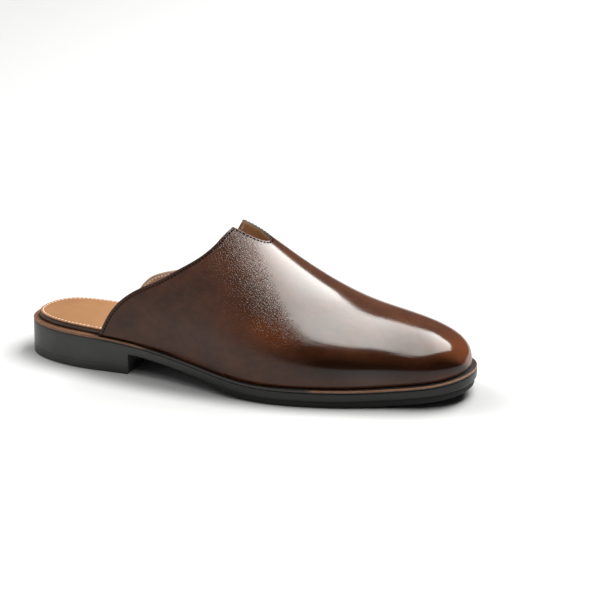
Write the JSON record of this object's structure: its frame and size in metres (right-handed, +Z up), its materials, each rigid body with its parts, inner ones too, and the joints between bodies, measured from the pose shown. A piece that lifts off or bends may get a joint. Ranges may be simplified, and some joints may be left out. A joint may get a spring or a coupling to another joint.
{
  "type": "mule shoe",
  "caption": "Backless smooth leather shoe for the right foot with a notched instep, covered toe, thin layered sole and low block heel.",
  "frame": {"origin": "middle of the heel's flat bottom, on the floor", "axes": "+X to the toe along the length, +Y to the inner side of the foot, +Z up"},
  "size_m": [0.3003, 0.1048, 0.0996],
  "materials": {
    "heel_leather": "black dyed heel leather, waxed to a satin",
    "sole_rubber": "matt black rubber with a fine tread",
    "sole_edge": "black inked sole edge, waxed to a satin",
    "welt_leather": "tan leather rim, its outer edge inked dark towards the waist",
    "insole_wrap": "dark brown wrapped insole edge",
    "sock_leather": "smooth tan sock leather with a light stitch round its rim",
    "upper_leather": "burnished brown glossy leather with a fine grain at the instep"
  },
  "bodies": {
    "root": {"heel": "heel_leather", "outsole": "sole_rubber", "midsole": "sole_edge", "welt": "welt_leather", "insole": "insole_wrap", "sock": "sock_leather", "upper": "upper_leather"}
  },
  "joints": []
}
